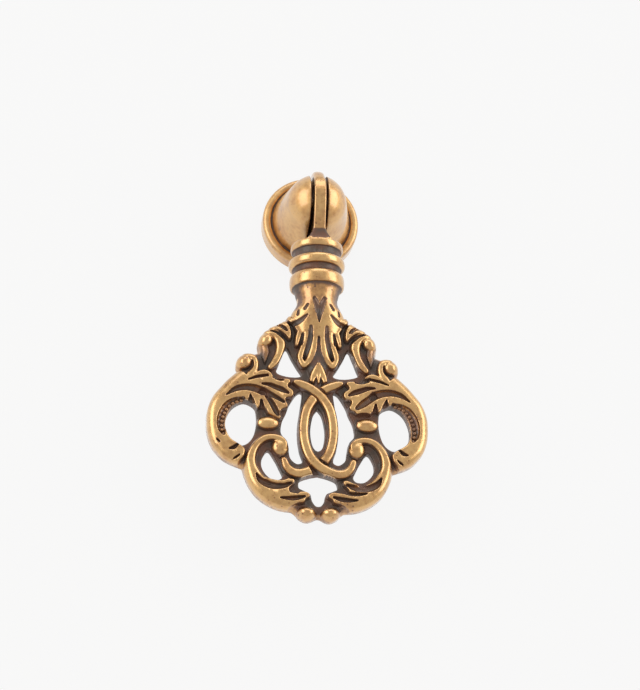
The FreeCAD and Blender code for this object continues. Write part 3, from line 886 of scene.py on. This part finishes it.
def brass(name, pits, satin=0.0, steady_rub=None):
    """Antique brass under lacquer. Without a steady rub it reads the piece's own."""
    material = bpy.data.materials.new(name)
    material.use_nodes = True
    tree = material.node_tree
    shader = tree.nodes["Principled BSDF"]
    finish = tree.nodes.new("ShaderNodeGroup")
    finish.node_tree = patina
    finish.inputs["Pits"].default_value = pits
    finish.inputs["Satin"].default_value = satin
    places = tree.nodes.new("ShaderNodeTexCoord")
    tree.links.new(places.outputs["Object"], finish.inputs["Place"])
    if steady_rub is None:
        worn = tree.nodes.new("ShaderNodeAttribute")
        worn.attribute_name = "rub"
        tree.links.new(worn.outputs["Fac"], finish.inputs["Rub"])
    else:
        finish.inputs["Rub"].default_value = steady_rub
    bump = node(tree, "ShaderNodeBump", Strength=GRAIN_STRENGTH, Distance=GRAIN_DEPTH)
    tree.links.new(finish.outputs["Height"], bump.inputs["Height"])
    for output, socket in (("Colour", "Base Color"), ("Metal", "Metallic"), ("Roughness", "Roughness"),
                           ("Lacquer", "Coat Weight")):
        tree.links.new(finish.outputs[output], shader.inputs[socket])
    tree.links.new(bump.outputs["Normal"], shader.inputs["Normal"])
    shader.inputs["Coat Roughness"].default_value = LACQUER_ROUGHNESS
    shader.inputs["Coat IOR"].default_value = LACQUER_IOR
    return material


patina = patina_group()
rose_brass = brass("rose_brass", pits=0.35, satin=0.12)
pin_brass = brass("pin_brass", pits=0.0, steady_rub=0.6)
drop_brass = brass("drop_brass", pits=1.0)
bead_brass = brass("bead_brass", pits=0.0, steady_rub=0.55)


# Pieces

def make_pendant():
    """The drop in place of its CAD solid."""
    margin = GRID_MARGIN * PENDANT_PITCH
    low = (-PLATE_HALF_WIDTH - margin, -EYE_RADIUS - margin, -FOOT_DROP - margin)
    high = (PLATE_HALF_WIDTH + margin, EYE_RADIUS + margin, EYE_RADIUS + margin)
    points, faces = surface(pendant_field, low, high, PENDANT_PITCH)
    mesh = thinned(to_frame(points, PIN_DEPTH), faces)
    set_rub(mesh, pendant_rub, PIN_DEPTH)
    piece = place_piece("pendant", mesh, "drop", drop_brass)
    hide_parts("drop_pendant")


def make_rose():
    """The rose and its head in place of their CAD solid."""
    margin = GRID_MARGIN * ROSE_PITCH
    low = (-ROSE_RADIUS - margin, -margin, -ROSE_RADIUS - margin)
    high = (ROSE_RADIUS + margin, PIN_DEPTH + NOSE_RADIUS + margin, ROSE_RADIUS + margin)
    points, faces = surface(rose_field, low, high, ROSE_PITCH)
    mesh = thinned(to_frame(points), faces)
    set_rub(mesh, rose_rub)
    piece = place_piece("rose", mesh, "post", rose_brass)
    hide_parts("rose_post")


def make_pin():
    """Pin with slightly chamfered ends, turned about the x axis."""
    end, rim = PIN_HALF_LENGTH, PIN_RADIUS - PIN_CHAMFER
    half = [(end, 0.0), (end, rim), (end - PIN_CHAMFER, PIN_RADIUS)]
    section = [(-x, radius) for x, radius in half] + half[::-1]
    angles = 2 * math.pi * np.arange(PIN_TURNS) / PIN_TURNS
    points = np.array([(x, r * math.cos(a), r * math.sin(a)) for x, r in section for a in angles])
    faces = []
    for row in range(len(section) - 1):
        first, second = row * PIN_TURNS, (row + 1) * PIN_TURNS
        for k in range(PIN_TURNS):
            after = (k + 1) % PIN_TURNS
            faces.append((first + k, first + after, second + after, second + k))
    mesh = bpy.data.meshes.new("pin")
    mesh.from_pydata(to_frame(points, PIN_DEPTH).tolist(), [], faces)
    mesh.validate()
    piece = place_piece("pin", mesh, "post", pin_brass)
    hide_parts("hinge_pin")


def bead_tree():
    """Geometry nodes that set equal beads along a line."""
    tree = bpy.data.node_groups.new("bead_row", "GeometryNodeTree")
    tree.interface.new_socket("Line", in_out="INPUT", socket_type="NodeSocketGeometry")
    for name in ("Spacing", "Radius"):
        tree.interface.new_socket(name, in_out="INPUT", socket_type="NodeSocketFloat")
    tree.interface.new_socket("Material", in_out="INPUT", socket_type="NodeSocketMaterial")
    tree.interface.new_socket("Beads", in_out="OUTPUT", socket_type="NodeSocketGeometry")
    given = tree.nodes.new("NodeGroupInput").outputs
    result = tree.nodes.new("NodeGroupOutput").inputs
    curve = tree.nodes.new("GeometryNodeMeshToCurve")
    even = tree.nodes.new("GeometryNodeResampleCurve")
    even.mode = "LENGTH"
    bead = tree.nodes.new("GeometryNodeMeshIcoSphere")
    bead.inputs["Subdivisions"].default_value = BEAD_SUBDIVISIONS
    on_points = tree.nodes.new("GeometryNodeInstanceOnPoints")
    real = tree.nodes.new("GeometryNodeRealizeInstances")
    finish = tree.nodes.new("GeometryNodeSetMaterial")
    for source, target in ((given["Line"], curve.inputs["Mesh"]),
                           (curve.outputs["Curve"], even.inputs["Curve"]),
                           (given["Spacing"], even.inputs["Length"]),
                           (given["Radius"], bead.inputs["Radius"]),
                           (even.outputs["Curve"], on_points.inputs["Points"]),
                           (bead.outputs["Mesh"], on_points.inputs["Instance"]),
                           (on_points.outputs["Instances"], real.inputs["Geometry"]),
                           (real.outputs["Geometry"], finish.inputs["Geometry"]),
                           (given["Material"], finish.inputs["Material"]),
                           (finish.outputs["Geometry"], result["Beads"])):
        tree.links.new(source, target)
    return tree


def make_bead_row(name, side, tree):
    """Row of beads in the big scroll of one half, as one plain mesh."""
    path = smooth(BEAD_ROW)
    points = np.column_stack([side * path[:, 0], np.full(len(path), BEAD_OFFSET), -path[:, 1]])
    mesh = bpy.data.meshes.new(name)
    steps = [(k, k + 1) for k in range(len(path) - 1)]
    mesh.from_pydata(to_frame(points, PIN_DEPTH).tolist(), steps, [])
    line = bpy.data.objects.new(name + "_line", mesh)
    bpy.context.scene.collection.objects.link(line)
    row = line.modifiers.new("beads", "NODES")
    row.node_group = tree
    values = {"Spacing": BEAD_SPACING * MM, "Radius": BEAD_RADIUS * MM, "Material": bead_brass}
    for socket in tree.interface.items_tree:
        if socket.in_out == "INPUT" and socket.name in values:
            row[socket.identifier] = values[socket.name]
    beads = bpy.data.meshes.new_from_object(line.evaluated_get(bpy.context.evaluated_depsgraph_get()))
    bpy.data.objects.remove(line)
    place_piece(name, beads, "drop", bead_brass)


make_pendant()
make_rose()
make_pin()
beads = bead_tree()
make_bead_row("beads_right", 1, beads)
make_bead_row("beads_left", -1, beads)


# Stage

WALL_SIZE = 3.0
WALL_GAP = 0.00002
PAPER = linear((248, 248, 248))
WALL_GLOW = 0.93
ROOM = (0.62, 0.6, 0.57, 1)

# Soft boxes: place in metres, width and height in metres, watts and colour
WARM = (1.0, 0.97, 0.93)
LIGHTS = {
    "left_box": ((-0.7, -0.45, 0.15), (0.5, 0.9), 3.0, WARM),
    "right_box": ((0.75, -0.4, 0.2), (0.5, 0.9), 3.0, WARM),
    "top_box": ((0.1, -0.5, 0.8), (0.9, 0.5), 2.0, (1, 1, 1)),
}
LIGHT_AIM = Vector((0, -0.01, -0.025))


def make_wall():
    """White wall that shows from the front only, bright by itself, with a faint shadow."""
    mesh = bpy.data.meshes.new("wall")
    half = WALL_SIZE / 2
    corners = [(-half, -half), (half, -half), (half, half), (-half, half)]
    mesh.from_pydata([(x, WALL_GAP, z) for x, z in corners], [], [(0, 1, 2, 3)])
    wall = bpy.data.objects.new("wall", mesh)
    bpy.context.scene.collection.objects.link(wall)
    material = bpy.data.materials.new("wall_paper")
    material.use_nodes = True
    tree = material.node_tree
    tree.nodes.remove(tree.nodes["Principled BSDF"])
    paint = node(tree, "ShaderNodeBsdfDiffuse", Color=PAPER)
    glow = node(tree, "ShaderNodeEmission", Color=PAPER)
    own = node(tree, "ShaderNodeMixShader", Fac=WALL_GLOW)
    clear = tree.nodes.new("ShaderNodeBsdfTransparent")
    sides = tree.nodes.new("ShaderNodeMixShader")
    facing = tree.nodes.new("ShaderNodeNewGeometry")
    for source, target in ((paint.outputs[0], own.inputs[1]), (glow.outputs[0], own.inputs[2]),
                           (facing.outputs["Backfacing"], sides.inputs[0]),
                           (own.outputs[0], sides.inputs[1]), (clear.outputs[0], sides.inputs[2]),
                           (sides.outputs[0], tree.nodes["Material Output"].inputs["Surface"])):
        tree.links.new(source, target)
    mesh.materials.append(material)


def make_light(name, place, size, watts, colour):
    """Soft box that faces the middle of the pull."""
    light = bpy.data.lights.new(name, "AREA")
    light.shape = "RECTANGLE"
    light.size, light.size_y = size
    light.energy = watts
    light.color = colour
    lamp = bpy.data.objects.new(name, light)
    bpy.context.scene.collection.objects.link(lamp)
    lamp.location = place
    lamp.rotation_euler = (LIGHT_AIM - Vector(place)).to_track_quat("-Z", "Y").to_euler()


def make_world():
    """Pale room round the pull."""
    world = bpy.data.worlds.new("room")
    bpy.context.scene.world = world
    world.use_nodes = True
    world.node_tree.nodes["Background"].inputs["Color"].default_value = ROOM


# The photograph's camera: to the left of the pull and below it
CAMERA_AZIMUTH = math.radians(8.0)
CAMERA_ELEVATION = math.radians(22.0)
CAMERA_ROLL = math.radians(0.35)
CAMERA_DISTANCE = 0.45
PICTURE = (640, 690)
PIXELS_PER_METRE = 5985.0
ORIGIN_PIXEL = (308.6, 228.8)
CLIPPED = (0.01, 10)


def make_camera():
    """Camera that sees the frame's origin at its place in the picture."""
    az, el = CAMERA_AZIMUTH, CAMERA_ELEVATION
    back = Vector((-math.sin(az) * math.cos(el), -math.cos(az) * math.cos(el), -math.sin(el)))
    level = Vector((math.cos(az), -math.sin(az), 0))
    upright = back.cross(level)
    right = math.cos(CAMERA_ROLL) * level - math.sin(CAMERA_ROLL) * upright
    up = math.sin(CAMERA_ROLL) * level + math.cos(CAMERA_ROLL) * upright
    across = (ORIGIN_PIXEL[0] - PICTURE[0] / 2) / PIXELS_PER_METRE
    above = (PICTURE[1] / 2 - ORIGIN_PIXEL[1]) / PIXELS_PER_METRE
    data = bpy.data.cameras.new("camera")
    data.lens = data.sensor_width * PIXELS_PER_METRE * CAMERA_DISTANCE / max(PICTURE)
    camera = bpy.data.objects.new("camera", data)
    bpy.context.scene.collection.objects.link(camera)
    turn = Matrix((right, up, back)).transposed()
    place = back * CAMERA_DISTANCE - right * across - up * above
    camera.matrix_world = Matrix.Translation(place) @ turn.to_4x4()
    data.clip_start, data.clip_end = CLIPPED
    bpy.context.scene.camera = camera


make_wall()
make_world()
for name, setting in LIGHTS.items():
    make_light(name, *setting)
make_camera()
bpy.context.scene.view_settings.view_transform = "Standard"
